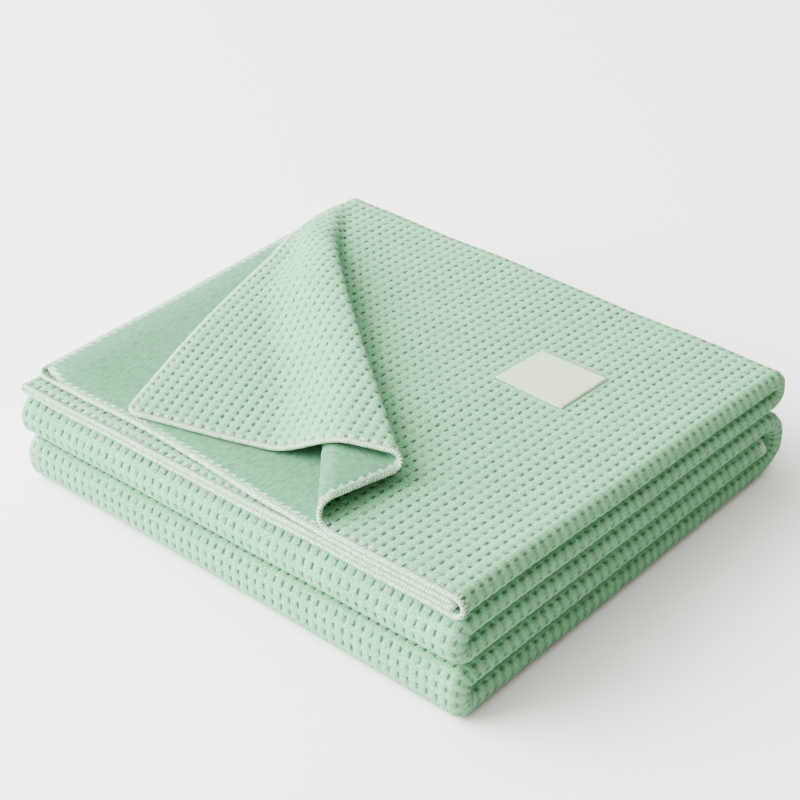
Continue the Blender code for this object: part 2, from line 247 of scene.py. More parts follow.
# The thread's cover on the cloth's faces: its width and teeth in cells, and how sharply it ends.
HEM_COVER = 0.30
HALF_TOOTH = 0.5
HEM_TOOTH = 0.8
HEM_FUZZ = 0.3
HEM_SHARPNESS = 6.0
WAFFLE_HEM_SHARE = 0.55
FLEECE_HEM_SHARE = 0.65
# Thread and label tape.
THREAD_ROUGHNESS = 0.9
TWIST_NOISE = (420.0, 4.0, 0.7)
TWIST_LEVELS = (0.38, 0.60)
TWIST_WANDER = 0.70
TWIST_HEIGHT = 0.6
# The cloth's colour with painted shade between the thread's turns: its spot and the most of it that
# is mixed in.
GAP_SPOT = (0.12, 0.22)
GAP_SHARE = 0.88
THREAD_BUMP = (0.0006, 0.8)
LABEL_ROUGHNESS = 0.8
TAPE_PITCH = 0.0007
TAPE_NOISE = (260.0, 3.0, 0.5)
LABEL_BUMP = (0.00015, 0.5)
# The sockets of a mix node that mixes colours.
MIX_INPUTS = (0, 6, 7)
MIX_OUTPUT = 2

# The label, its soft swell, its thin edge and its stitches, which are placed by shares of its size.
LABEL_SIZE = (0.0535, 0.0488)
LABEL_CENTRE = (0.0811, 0.0496)
LABEL_TURN = math.radians(-1.0)
LABEL_LIFT = HALF_CLOTH + 0.0006
LABEL_THICKNESS = 0.0006
LABEL_STATIONS = 25
LABEL_SWELL = 0.0004
SWELL_ALONG = 5.0
SWELL_PHASE = 1.0
SWELL_ACROSS = 4.0
EDGE_START = 0.46
EDGE_WIDTH = 0.04
EDGE_DROP = 0.0003
LABEL_INSET = 0.472
LABEL_STITCHES = 20
# The gap before a label stitch in pitches, and its length in half pitches.
STITCH_GAP = 0.2
STITCH_LENGTH = 1.2
LABEL_STITCH_RADIUS = 0.00016
LABEL_STITCH_LIFTS = np.array([-0.0001, 0.0001, 0.0001, -0.0001])

# The floor: how far it reaches each way, and its surface.
FLOOR_REACH = 30.0
FLOOR_COLOUR = (0.92, 0.92, 0.92, 1.0)
FLOOR_ROUGHNESS = 0.9

# The light: which side of the surround is bright, how bright each side is, and the key light.
BRIGHT_SIDE = (-0.80, -0.46, 0.38)
BRIGHT_LEVELS = (-0.35, 0.9)
DIM_TINT = (1.0, 0.82, 0.70, 1.0)
BRIGHT_TINT = (1.0, 1.0, 1.0, 1.0)
DIM_STRENGTH = 0.10
BRIGHT_STRENGTH = 4.9
KEY_PLACE = (-1.9, -1.6, 1.7)
KEY_POWER = 500.0
KEY_SIZE = 2.8
KEY_COLOUR = (1.0, 0.99, 0.96)

# The camera, fitted to the photograph.
CAMERA_PLACE = (0.66829582, -0.77215071, 0.72827243)
CAMERA_AZIMUTH = 40.989
CAMERA_ELEVATION = 33.4155
CAMERA_LENS = 85.0
SENSOR_WIDTH = 36.0


# ---------------------------------------------------------------- the folds


def turn_radius(levels, index):
    """Half the height between two levels that a line turns between."""
    return abs(levels[index + 1] - levels[index]) / 2


def stretch_starts(stops, levels, cover):
    """The distance along a folded line at which each straight run and each turn starts."""
    starts = [0.0]
    for index in range(len(levels)):
        starts.append(starts[-1] + abs(stops[index + 1] - stops[index]))
        if index + 1 < len(levels):
            starts.append(starts[-1] + math.pi * (turn_radius(levels, index) + cover))
    return starts


ACROSS_STARTS = stretch_starts(ACROSS_STOPS, ACROSS_LEVELS, 0.0)
ALONG_STARTS = stretch_starts(ALONG_STOPS, ALONG_LEVELS, OUTER_LAYER)
CLOTH_WIDTH = ACROSS_STARTS[-1]
CLOTH_LENGTH = ALONG_STARTS[-1]


def folded_line(distance, stops, levels, starts, cover):
    """Place, level and the two parts of the upward direction along a line folded back and forth."""
    place, level, across, up = (np.zeros_like(distance) for _ in range(4))
    for index in range(len(levels)):
        heading = math.copysign(1.0, stops[index + 1] - stops[index])
        begins, ends = starts[2 * index], starts[2 * index + 1]
        lowest = -math.inf if index == 0 else begins - ROUNDING_ERROR
        highest = math.inf if index + 1 == len(levels) else ends + ROUNDING_ERROR
        straight = (distance >= lowest) & (distance <= highest)
        place[straight] = stops[index] + heading * (distance[straight] - begins)
        level[straight] = levels[index]
        across[straight] = 0.0
        up[straight] = heading
        if index + 1 == len(levels):
            continue
        radius = turn_radius(levels, index)
        rising = math.copysign(1.0, levels[index + 1] - levels[index])
        turning = (distance > ends) & (distance < starts[2 * index + 2])
        angle = (distance[turning] - ends) / (radius + cover)
        place[turning] = stops[index + 1] + heading * radius * np.sin(angle)
        level[turning] = levels[index] + rising * radius * (1.0 - np.cos(angle))
        across[turning] = -rising * np.sin(angle)
        up[turning] = heading * np.cos(angle)
    return place, level, across, up


def smooth(share):
    """A soft step from 0 to 1."""
    share = np.clip(share, 0.0, 1.0)
    return share * share * (3.0 - 2.0 * share)


def tuck_depth(reach):
    """Distance between the tuck's two creases, measured in the cloth, this far from its point."""
    return TUCK_SHARE * reach * (1.0 - np.exp(-reach / TUCK_EASE))


def turned_angle(cloth, depth, turn):
    """The cloth's angle along a line across the tuck."""
    over = smooth((cloth + LOWER_TURN / 2) / LOWER_TURN)
    back = smooth((cloth - depth) / UPPER_TURN + 0.5)
    return turn * (over - back)


def solved_turn(cloth, depth):
    """How far the cloth turns for its two turns to shorten it by twice the tuck's depth."""
    low, high = 0.0, MOST_TURN
    for _ in range(HALVINGS):
        turn = (low + high) / 2
        taken = np.sum(1.0 - np.cos(turned_angle(cloth, depth, turn))) * PROFILE_STEP
        low, high = (turn, high) if taken < 2.0 * depth else (low, turn)
    return turn


def tuck_curve(reach):
    """Cloth distance, sideways place and height along one line across the tuck."""
    depth = tuck_depth(reach)
    start = -LOWER_TURN / 2
    fall_start = depth + UPPER_TURN / 2
    turns = np.arange(start, fall_start, PROFILE_STEP)
    angle = turned_angle(turns, depth, TUCK_LEAN * solved_turn(turns, depth))
    top = np.sum(np.sin(angle)) * PROFILE_STEP
    resting = np.zeros(int(max(0.0, depth - REST_DEPTH) / PROFILE_STEP))
    length = min(TUCK_FALL, FALL_SHARE * reach)
    share = np.arange(0.0, 1.0, PROFILE_STEP / length)
    # The slope of a soft step from the ridge's height down to nothing.
    slope = np.minimum(6.0 * share * (1.0 - share) * top / length, STEEPEST_FALL)
    ahead = np.concatenate([np.cos(angle), resting + 1.0, np.sqrt(1.0 - slope * slope)])
    rise = np.concatenate([np.sin(angle), resting, -slope])
    cloth = start + np.arange(len(ahead) + 1) * PROFILE_STEP
    sideways = start + np.concatenate([[0.0], np.cumsum(ahead)]) * PROFILE_STEP
    height = np.concatenate([[0.0], np.cumsum(rise)]) * PROFILE_STEP
    return cloth, sideways, height


def tuck_tables():
    """Sideways place and height for every reach and distance across the tuck, on a regular grid."""
    reaches = np.linspace(LONGEST_REACH / REACH_STEPS, LONGEST_REACH, REACH_STEPS)
    last = 2.0 * tuck_depth(LONGEST_REACH) + UPPER_TURN / 2 + TUCK_FALL
    distances = np.arange(-LOWER_TURN / 2, last, PROFILE_STEP)
    shift = np.zeros((REACH_STEPS, len(distances)))
    height = np.zeros_like(shift)
    for row, reach in enumerate(reaches):
        cloth, sideways, rise = tuck_curve(reach)
        shift[row] = np.interp(distances, cloth, cloth - sideways)
        height[row] = np.interp(distances, cloth, rise, right=0.0)
    return reaches, distances, shift, height


TABLES = tuck_tables()


def read_table(table, row, column):
    """Values between the entries of a regular grid."""
    row = np.clip(row, 0.0, table.shape[0] - TABLE_END)
    column = np.clip(column, 0.0, table.shape[1] - TABLE_END)
    i, j = row.astype(int), column.astype(int)
    a, b = row - i, column - j
    upper = table[i, j] * (1 - b) + table[i, j + 1] * b
    lower = table[i + 1, j] * (1 - b) + table[i + 1, j + 1] * b
    return upper * (1 - a) + lower * a


def tucked(x, y):
    """Where the tuck takes points of the flat top layer, and how far they rise."""
    reaches, distances, shift, height = TABLES
    reach = np.hypot(x - TUCK_POINT[0], y - TUCK_POINT[1])
    angle = np.arctan2(TUCK_POINT[1] - y, x - TUCK_POINT[0])
    across = reach * (angle - CREASE_ANGLE)
    row = (reach - reaches[0]) / (reaches[1] - reaches[0])
    column = (across - distances[0]) / PROFILE_STEP
    inside = across > distances[0]
    moved = np.where(inside, read_table(shift, row, column), 0.0)
    rise = np.where(inside, read_table(height, row, column), 0.0)
    turned = angle - moved / reach
    new_x = TUCK_POINT[0] + reach * np.cos(turned)
    new_y = TUCK_POINT[1] - reach * np.sin(turned)
    return np.where(inside, new_x, x), np.where(inside, new_y, y), rise


def rounded_corners(u, v):
    """Draws the four corners of the flat cloth in to a small round, and gives the new v."""
    for distance_u in (u, CLOTH_WIDTH - u):
        for from_start in (True, False):
            distance_v = v if from_start else CLOTH_LENGTH - v
            near = np.clip(1.0 - distance_u / CORNER_ROUNDING, 0.0, 1.0)
            drawn_in = CORNER_ROUNDING * (1.0 - np.sqrt(1.0 - near * near))
            fade = np.clip(1.0 - distance_v / ROUNDING_FADE, 0.0, 1.0)
            v = v + drawn_in * fade * (1.0 if from_start else -1.0)
    return v


def set_back(u, x, v):
    """Draws back the second layer's front hem, most of all at the left."""
    share = smooth((SETBACK_END_X - x) / (SETBACK_END_X - SETBACK_FULL_X))
    fade = np.clip(1.0 - v / (BACK_TURN_Y - FRONT_HEM_Y), 0.0, 1.0)
    second = u > ACROSS_STARTS[-2]
    return np.where(second, v + HEM_SETBACK * share * fade, v)


def softened(x, y, z):
    """Small uneven swells, the same for all the layers at one place and more towards the top."""
    waves = sum(share * np.sin(a * x + b * y + phase) for share, a, b, phase in SWELLS)
    return SWELL_HEIGHT * waves * np.clip(z / STACK_HEIGHT, 0.0, 1.0)


def settled(x, y, z):
    """Shifts and lifts the sections, as a pile of cloth does when it settles."""
    levels = np.arange(len(SETTLED_LEVELS)) * SECTION_HEIGHT
    levels[0] = LAYER_PITCH
    columns = [np.interp(z, levels, column) for column in zip(*SETTLED_LEVELS)]
    shift_x, front_shift, back_shift, left_lift, right_lift, back_lift = columns
    right = np.clip(x / STACK_LENGTH + 0.5, 0.0, 1.0)
    back = np.clip(y / STACK_DEPTH + 0.5, 0.0, 1.0)
    shift_x = shift_x + FRONT_LEFT_PULL * (1.0 - right) * (1.0 - back) ** 2
    shift_y = front_shift + (back_shift - front_shift) * back
    front_lift = left_lift + (right_lift - left_lift) * right
    lift = front_lift + (back_lift - front_lift) * back + softened(x, y, z)
    return x + shift_x - STACK_CENTRE[0], y + shift_y - STACK_CENTRE[1], z + lift - STACK_BASE


def folded_cloth(u, v):
    """Where points of the flat cloth's middle lie in the folded stack."""
    v = rounded_corners(u, v)
    x, offset, _, _ = folded_line(u, ACROSS_STOPS, ACROSS_LEVELS, ACROSS_STARTS, 0.0)
    v = set_back(u, x, v)
    top = (u <= ACROSS_STARTS[1]) & (v <= ALONG_STARTS[1])
    tuck_x, tuck_y, rise = tucked(x, FRONT_HEM_Y + v)
    x = np.where(top, tuck_x, x)
    v = np.where(top, tuck_y - FRONT_HEM_Y, v)
    offset = np.where(top, offset + rise, offset)
    y, z, across, up = folded_line(v, ALONG_STOPS, ALONG_LEVELS, ALONG_STARTS, OUTER_LAYER)
    return np.stack(settled(x, y + offset * across, z + offset * up), axis=-1)


def unit(vectors):
    """The same directions, each one long."""
    return vectors / (np.linalg.norm(vectors, axis=1)[:, None] + TINY)


def cloth_surface(u, v, height):
    """Points this far from the cloth's middle, on its waffle side where height is positive."""
    points = folded_cloth(u, v)
    ahead_u = folded_cloth(u + NORMAL_STEP, v) - folded_cloth(u - NORMAL_STEP, v)
    ahead_v = folded_cloth(u, v + NORMAL_STEP) - folded_cloth(u, v - NORMAL_STEP)
    return points + unit(np.cross(ahead_u, ahead_v)) * height[:, None]


# ---------------------------------------------------------------- the weave


def band_cells(starts, cell):
    """How many weave cells lie in each run and turn of a folded line."""
    return [max(1, round((end - start) / cell)) for start, end in zip(starts, starts[1:])]


ACROSS_CELLS = band_cells(ACROSS_STARTS, CELL_WIDTH)
ALONG_CELLS = band_cells(ALONG_STARTS, CELL_LENGTH)


def lattice(distance, starts, cells):
    """The weave's own coordinate along a line: whole numbers at the cells' edges."""
    counts = np.concatenate([[0], np.cumsum(cells)])
    return np.interp(distance, starts, counts)


def weave_place(u, v):
    """Places on the flat cloth counted in weave cells, across and along."""
    return lattice(u, ACROSS_STARTS, ACROSS_CELLS), lattice(v, ALONG_STARTS, ALONG_CELLS)


def in_pit(share, floor, slope):
    """1 on a pit's floor, falling to 0 at its rim."""
    middle, half = (floor[0] + floor[1]) / 2, (floor[1] - floor[0]) / 2
    return np.clip(1.0 - (np.abs(share - middle) - half) / slope, 0.0, 1.0)


def sunk(share):
    """0 on a cell's edges, falling to -1 in its middle."""
    return (np.cos(2.0 * math.pi * share) - 1.0) / 2.0


def weave_height(u, v):
    """Height of the waffle face over the cloth's middle."""
    a, b = (place % 1.0 for place in weave_place(u, v))
    turning = (u > ACROSS_STARTS[1]) & (u < ACROSS_STARTS[2])
    crown = np.where(turning, TURN_CROWN, CROWN) * sunk(a)
    crown += np.where(turning, TURN_RIDGE, 0.0) * sunk(b)
    pit = in_pit(a, PIT_FLOOR_ACROSS, PIT_SLOPE_ACROSS)
    pit *= in_pit(b, PIT_FLOOR_ALONG, PIT_SLOPE_ALONG)
    return HALF_CLOTH + crown - PIT_DEPTH * np.where(turning, TURN_PIT_SHARE, 1.0) * pit


def fine_stations(start, end, cells, shares):
    """Stations at the same shares of every weave cell, with the band's two ends."""
    size = (end - start) / cells
    inner = {start + (cell + share) * size for cell in range(cells) for share in shares}
    return sorted({round(value, DECIMALS) for value in inner | {start, end}})


def even_stations(start, end, step, least):
    """Evenly spaced stations about a step apart."""
    count = max(least, round((end - start) / step))
    return sorted({round(float(value), DECIMALS) for value in np.linspace(start, end, count + 1)})


class Face:
    """One face of the cloth, made of blocks that share the stations on their borders."""

    def __init__(self):
        self.index = {}
        self.polygons = []

    def point(self, u, v):
        return self.index.setdefault((u, v), len(self.index))

    def side(self, fixed, stations, low, high, along_v):
        """The points on one side of a cell, its last one left out."""
        inside = [value for value in stations if min(low, high) <= value <= max(low, high)]
        inside = inside if low < high else inside[::-1]
        if along_v:
            return [self.point(fixed, value) for value in inside[:-1]]
        return [self.point(value, fixed) for value in inside[:-1]]

    def add_block(self, us, vs, borders):
        """A grid of cells; borders holds the stations on its left, right, near and far side."""
        left, right, near, far = borders
        for i, (u0, u1) in enumerate(zip(us, us[1:])):
            for j, (v0, v1) in enumerate(zip(vs, vs[1:])):
                ring = self.side(v0, near if j == 0 else (u0, u1), u0, u1, False)
                ring += self.side(u1, right if i == len(us) - 2 else (v0, v1), v0, v1, True)
                ring += self.side(v1, far if j == len(vs) - 2 else (u0, u1), u1, u0, False)
                ring += self.side(u0, left if i == 0 else (v0, v1), v1, v0, True)
                self.polygons.append(ring)


# Bands across: top panel, outer turn, panel, left turn, panel, inner turn, panel.
# Bands along: five runs with four turns between them.
ACROSS_BANDS = list(zip(ACROSS_STARTS, ACROSS_STARTS[1:]))
ALONG_BANDS = list(zip(ALONG_STARTS, ALONG_STARTS[1:]))
TOP_BLOCK = (0, 0)
THIRD_LAYER_HEM = (4, 0)
# The blocks whose pits show: the top panel, the outer layer of each turn along, and the outer and
# left turns across.
FINE_BLOCKS = {TOP_BLOCK, (0, 1), (2, 3), (0, 5), (0, 7)}
FINE_BLOCKS |= {(i, j) for i in (1, 3) for j in range(len(ALONG_BANDS))}


def block_face(stations_of):
    """Builds a face from the stations that stations_of gives each pair of bands."""
    stations = {
        (i, j): stations_of(i, j) for i in range(len(ACROSS_BANDS)) for j in range(len(ALONG_BANDS))
    }
    face = Face()
    for (i, j), (us, vs) in stations.items():
        shared = [
            sorted(set(mine) | set(stations.get(key, ((), ()))[which]))
            for mine, key, which in (
                (vs, (i - 1, j), 1),
                (vs, (i + 1, j), 1),
                (us, (i, j - 1), 0),
                (us, (i, j + 1), 0),
            )
        ]
        face.add_block(us, vs, shared)
    return face


def waffle_stations(i, j):
    """Stations of the waffle face: fine where its pits show."""
    (u0, u1), (v0, v1) = ACROSS_BANDS[i], ALONG_BANDS[j]
    if (i, j) in FINE_BLOCKS:
        # Only the top panel has stations on the edges of its cells.
        across = FINE_ACROSS if (i, j) == TOP_BLOCK else FINE_ACROSS[1:]
        return (
            fine_stations(u0, u1, ACROSS_CELLS[i], across),
            fine_stations(v0, v1, ALONG_CELLS[j], FINE_ALONG),
        )
    us, vs = coarse_stations(i, j)
    if (i, j) == THIRD_LAYER_HEM:
        showing = v0 + SHOWING_CELLS * (v1 - v0) / ALONG_CELLS[j]
        near = fine_stations(v0, showing, SHOWING_CELLS, FINE_ALONG)
        us = fine_stations(u0, u1, ACROSS_CELLS[i], FINE_ACROSS[1:])
        vs = near + [v for v in vs if v > showing + COARSE_STEP / 4]
    return us, vs


def coarse_stations(i, j):
    """Stations far apart on runs and closer on turns, which are the odd bands."""
    across = (TURN_STEP_ACROSS, LEAST_ON_TURN) if i % 2 else (COARSE_STEP, LEAST_ON_RUN)
    along = (TURN_STEP_ALONG, LEAST_ON_TURN) if j % 2 else (COARSE_STEP, LEAST_ON_RUN)
    return even_stations(*ACROSS_BANDS[i], *across), even_stations(*ALONG_BANDS[j], *along)


def fleece_stations(i, j):
    """Stations of the fleece face: closer on the top panel, which is tucked."""
    if (i, j) == TOP_BLOCK:
        return (
            even_stations(*ACROSS_BANDS[i], FLEECE_STEP_ACROSS, LEAST_ON_RUN),
            even_stations(*ALONG_BANDS[j], FLEECE_STEP_ALONG, LEAST_ON_RUN),
        )
    return coarse_stations(i, j)


def zipped(first, second):
    """Triangles between two rows of (distance, point) that run side by side."""
    i = j = 0
    triangles = []
    while i + 1 < len(first) or j + 1 < len(second):
        step_first = j + 1 == len(second) or (
            i + 1 < len(first) and first[i + 1][0] <= second[j + 1][0]
        )
        if step_first:
            triangles.append([first[i][1], first[i + 1][1], second[j][1]])
            i += 1
        else:
            triangles.append([first[i][1], second[j + 1][1], second[j][1]])
            j += 1
    return triangles


def rim(face, which, value, offset=0):
    """A face's border points in order, where coordinate number which has this value."""
    value = round(value, DECIMALS)
    found = [(key[1 - which], offset + k) for key, k in face.index.items() if key[which] == value]
    return sorted(found)


def rim_strips(waffle, fleece, offset):
    """Triangles that close the sheet along its four edges."""
    triangles = []
    for which, value, flipped in (
        (0, 0.0, False),
        (0, CLOTH_WIDTH, True),
        (1, 0.0, True),
        (1, CLOTH_LENGTH, False),
    ):
        strip = zipped(rim(waffle, which, value), rim(fleece, which, value, offset))
        triangles += [triangle[::-1] for triangle in strip] if flipped else strip
    return triangles


def cloth_mesh():
    """Points, polygons, material numbers and weave coordinates of the whole closed sheet."""
    waffle, fleece = block_face(waffle_stations), block_face(fleece_stations)
    offset = len(waffle.index)
    waffle_uv = np.array(list(waffle.index), float)
    fleece_uv = np.array(list(fleece.index), float)
    upper = cloth_surface(*waffle_uv.T, weave_height(*waffle_uv.T))
    lower = cloth_surface(*fleece_uv.T, np.full(len(fleece_uv), -HALF_CLOTH))
    under = [[offset + k for k in reversed(ring)] for ring in fleece.polygons]
    strips = rim_strips(waffle, fleece, offset)
    polygons = waffle.polygons + under + strips
    numbers = [0] * len(waffle.polygons) + [1] * len(under) + [2] * len(strips)
    weave = np.stack(weave_place(*np.concatenate([waffle_uv, fleece_uv]).T), axis=1)
    return over_floor(np.concatenate([upper, lower])), polygons, numbers, weave


def over_floor(points):
    """Points with none of them under the floor."""
    points[:, 2] = np.maximum(points[:, 2], 0.0)
    return points


# ---------------------------------------------------------------- meshes and materials


def made_object(name, points, polygons, materials, numbers=None, weave=None):
    """A smooth shaded mesh object in the scene."""
    mesh = bpy.data.meshes.new(name)
    mesh.from_pydata([tuple(map(float, p)) for p in points], [], polygons)
    for material in materials:
        mesh.materials.append(material)
    if numbers is not None:
        mesh.polygons.foreach_set("material_index", numbers)
    if weave is not None:
        loops = np.zeros(len(mesh.loops), int)
        mesh.loops.foreach_get("vertex_index", loops)
        layer = mesh.uv_layers.new(name="weave")
        layer.data.foreach_set("uv", np.asarray(weave, float)[loops].ravel())
    mesh.shade_smooth()
    mesh.update()
    item = bpy.data.objects.new(name, mesh)
    bpy.context.scene.collection.objects.link(item)
    return item


class Nodes:
    """The nodes of a material or of the world, with short ways to add and join them."""

    def __init__(self, owner):
        owner.use_nodes = True
        self.owner = owner
        self.tree = owner.node_tree

    def give(self, socket, value):
        """Sets a socket to a value, or joins it to another node's output."""
        if isinstance(value, (int, float, tuple)):
            socket.default_value = value
        else:
            self.tree.links.new(value, socket)

    def add(self, kind, inputs=None, **settings):
        node = self.tree.nodes.new(kind)
        for key, value in settings.items():
            setattr(node, key, value)
        for key, value in (inputs or {}).items():
            self.give(node.inputs[key], value)
        return node

    def maths(self, operation, *values):
        return self.add("ShaderNodeMath", dict(enumerate(values)), operation=operation).outputs[0]

    def noise(self, vector, scale, detail, roughness):
        values = {"Vector": vector, "Scale": scale, "Detail": detail, "Roughness": roughness}
        return self.add("ShaderNodeTexNoise", values).outputs["Fac"]

    def mixed(self, share, first, second):
        """The first colour with this share of the second."""
        node = self.add("ShaderNodeMix", data_type="RGBA")
        for socket, value in zip(MIX_INPUTS, (share, first, second)):
            self.give(node.inputs[socket], value)
        return node.outputs[MIX_OUTPUT]

    def tinted(self, colour, share, most, tint):
        """A colour with a share of a tint, at most this much."""
        return self.mixed(self.maths("MULTIPLY", share, most), colour, tint)

    def contrast(self, value, low, high):
        """Stretches a value so that it runs from 0 to 1 between two levels."""
        values = {"Value": value, "From Min": low, "From Max": high}
        return self.add("ShaderNodeMapRange", values, clamp=True).outputs[0]

    def scaled(self, vector, factors):
        node = self.add("ShaderNodeVectorMath", {0: vector, 1: factors}, operation="MULTIPLY")
        return node.outputs[0]

    def split(self, vector):
        """The first two parts of a vector."""
        return self.add("ShaderNodeSeparateXYZ", {0: vector}).outputs[:2]

    def weave(self):
        """The place on the cloth in weave cells, and its parts across and along."""
        place = self.add("ShaderNodeUVMap", uv_map="weave").outputs[0]
        return place, *self.split(place)

    def place(self):
        """The place in the object's own frame, in metres."""
        return self.add("ShaderNodeTexCoord").outputs["Object"]

    def finish(self, colour, height, distance, strength):
        """Joins the colour and the bumps to the material's shader."""
        values = {"Height": height, "Distance": distance, "Strength": strength}
        shader = self.tree.nodes["Principled BSDF"]
        self.give(shader.inputs["Normal"], self.add("ShaderNodeBump", values).outputs[0])
        self.give(shader.inputs["Base Color"], colour)
        return self.owner


def cloth_nodes(name, roughness, sheen_roughness=None):
    """The nodes of a new soft material, with a sheen if that has a roughness."""
    nodes = Nodes(bpy.data.materials.new(name))
    inputs = nodes.tree.nodes["Principled BSDF"].inputs
    inputs["Roughness"].default_value = roughness
    inputs["Specular IOR Level"].default_value = SPECULAR
    if sheen_roughness is not None:
        inputs["Sheen Weight"].default_value = SHEEN
        inputs["Sheen Roughness"].default_value = sheen_roughness
    return nodes


def pulse(nodes, value, half, soft):
    """1 near the middle of every cell, 0 away from it."""
    away = nodes.maths("ABSOLUTE", nodes.maths("SUBTRACT", nodes.maths("FRACT", value), 0.5))
    outside = nodes.contrast(nodes.maths("SUBTRACT", away, half), 0.0, soft)
    return nodes.maths("SUBTRACT", 1.0, outside)


def hem_share(nodes, across, along, fuzz):
    """1 where the overlock thread covers the cloth's edge, in uneven teeth; 0 further in."""
    far_across = nodes.maths("SUBTRACT", float(sum(ACROSS_CELLS)), across)
    far_along = nodes.maths("SUBTRACT", float(sum(ALONG_CELLS)), along)
    near = nodes.maths("MINIMUM", nodes.maths("MINIMUM", across, far_across), along)
    near = nodes.maths("MINIMUM", near, far_along)
    tooth = nodes.maths("PINGPONG", nodes.maths("ADD", across, along), HALF_TOOTH)
    width = nodes.maths("MULTIPLY_ADD", tooth, HEM_TOOTH, HEM_COVER)
    width = nodes.maths("MULTIPLY_ADD", fuzz, HEM_FUZZ, width)
    share = nodes.maths("MULTIPLY", nodes.maths("SUBTRACT", width, near), HEM_SHARPNESS)
    return nodes.add("ShaderNodeClamp", {0: share}).outputs[0]


def off_turn(nodes, across):
    """0 on the outer turn at the right, 1 on the panels on both sides of it."""
    middle = ACROSS_CELLS[0] + ACROSS_CELLS[1] / 2
    away = nodes.maths("ABSOLUTE", nodes.maths("SUBTRACT", across, middle))
    return nodes.contrast(away, *TURN_EXTENT)


def on_turn(nodes, flat, most):
    """This much on the outer turn, and nothing off it."""
    return nodes.maths("MULTIPLY_ADD", flat, -most, most)


def painted_pit_and_furrow_shade(nodes, weave, across, along, flat):
    """Where painted shade darkens the pits, and where it darkens the furrows between the ridges of
    the turn.
    """
    wander = nodes.maths("SUBTRACT", nodes.noise(weave, *WANDER_NOISE), 0.5)
    across = nodes.maths("MULTIPLY_ADD", wander, WANDER_ACROSS, across)
    along = nodes.maths("MULTIPLY_ADD", wander, WANDER_ALONG, along)
    spot_across = pulse(nodes, across, *PIT_SPOT_ACROSS)
    spot = nodes.maths("MULTIPLY", spot_across, pulse(nodes, along, *PIT_SPOT_ALONG))
    # Less painted shade in the pits on the outer turn.
    depth = nodes.maths("MULTIPLY_ADD", flat, 1.0 - TURN_SPOT_SHARE, TURN_SPOT_SHARE)
    # Painted shade in the furrows between the ridges of the outer turn.
    furrow_shade = pulse(nodes, along, *FURROW_SPOT)
    furrow_shade = nodes.maths("MULTIPLY", furrow_shade, on_turn(nodes, flat, FURROW_SHARE))
    return nodes.maths("MULTIPLY", spot, depth), furrow_shade


def rib_colour(nodes, weave, fuzz):
    """The ribs' own colour, with blotches, specks and fibres."""
    colour = nodes.mixed(nodes.contrast(fuzz, *FUZZ_LEVELS), RIB_DARK, RIB_LIGHT)
    for tint, stretch, noise, levels, most in RIB_LAYERS:
        marks = nodes.noise(nodes.scaled(weave, stretch), *noise)
        colour = nodes.tinted(colour, nodes.contrast(marks, *levels), most, tint)
    return colour


def waffle_material():
    """Mint waffle weave: painted shade in the pits, in the turn's furrows and over the outer turn,
    with the fine threads as small bumps.
    """
    nodes = cloth_nodes("waffle weave", CLOTH_ROUGHNESS, WAFFLE_SHEEN_ROUGHNESS)
    weave, across, along = nodes.weave()
    fuzz = nodes.noise(weave, *FUZZ_NOISE)
    flat = off_turn(nodes, across)
    pit, furrow_shade = painted_pit_and_furrow_shade(nodes, weave, across, along, flat)
    colour = rib_colour(nodes, weave, fuzz)
    # Painted shade: the outer turn drawn darker and olive.
    colour = nodes.mixed(on_turn(nodes, flat, TURN_SHADE_SHARE), colour, RIB_TURN_PAINTED_SHADE)
    # Painted shade in the furrows across the outer turn.
    colour = nodes.mixed(furrow_shade, colour, PIT_PAINTED_SHADE)
    # Painted shade in the pits.
    colour = nodes.tinted(colour, pit, PIT_SHADE_SHARE, PIT_PAINTED_SHADE)
    hem = hem_share(nodes, across, along, fuzz)
    colour = nodes.tinted(colour, hem, WAFFLE_HEM_SHARE, THREAD_PALE)
    height = nodes.maths("MULTIPLY_ADD", nodes.noise(weave, *YARN_NOISE), YARN_HEIGHT, fuzz)
    return nodes.finish(colour, height, *WAFFLE_BUMP)


def fleece_material():
    """Smooth brushed fleece of the same mint."""
    nodes = cloth_nodes("brushed fleece", CLOTH_ROUGHNESS, FLEECE_SHEEN_ROUGHNESS)
    weave, across, along = nodes.weave()
    nap = nodes.noise(nodes.scaled(weave, NAP_STRETCH), *NAP_NOISE)
    fluff = nodes.noise(weave, *FLUFF_NOISE)
    colour = nodes.mixed(nodes.contrast(nap, *NAP_LEVELS), FLEECE_DARK, FLEECE_LIGHT)
    colour = nodes.tinted(colour, nodes.contrast(fluff, *FLUFF_LEVELS), FLUFF_SHARE, FLEECE_PALE)
    hem = hem_share(nodes, across, along, fluff)
    colour = nodes.tinted(colour, hem, FLEECE_HEM_SHARE, THREAD_PALE)
    height = nodes.maths("MULTIPLY_ADD", fluff, FLUFF_HEIGHT, nap)
    return nodes.finish(colour, height, *FLEECE_BUMP)


def thread_material():
    """Off-white overlock thread, with the cloth's colour darkened by painted shade in the gaps
    between its turns.
    """
    nodes = cloth_nodes("overlock thread", THREAD_ROUGHNESS)
    _, turns, _ = nodes.weave()
    twist = nodes.noise(nodes.place(), *TWIST_NOISE)
    turned = nodes.maths("ADD", turns, nodes.maths("MULTIPLY", twist, TWIST_WANDER))
    gap = pulse(nodes, turned, *GAP_SPOT)
    colour = nodes.mixed(nodes.contrast(twist, *TWIST_LEVELS), THREAD_SHADE, THREAD_LIGHT)
    # The cloth's colour with painted shade in the gaps between the thread's turns.
    colour = nodes.tinted(colour, gap, GAP_SHARE, THREAD_GAP_CLOTH_AND_SHADE)
    height = nodes.maths("SUBTRACT", nodes.maths("MULTIPLY", twist, TWIST_HEIGHT), gap)
    return nodes.finish(colour, height, *THREAD_BUMP)


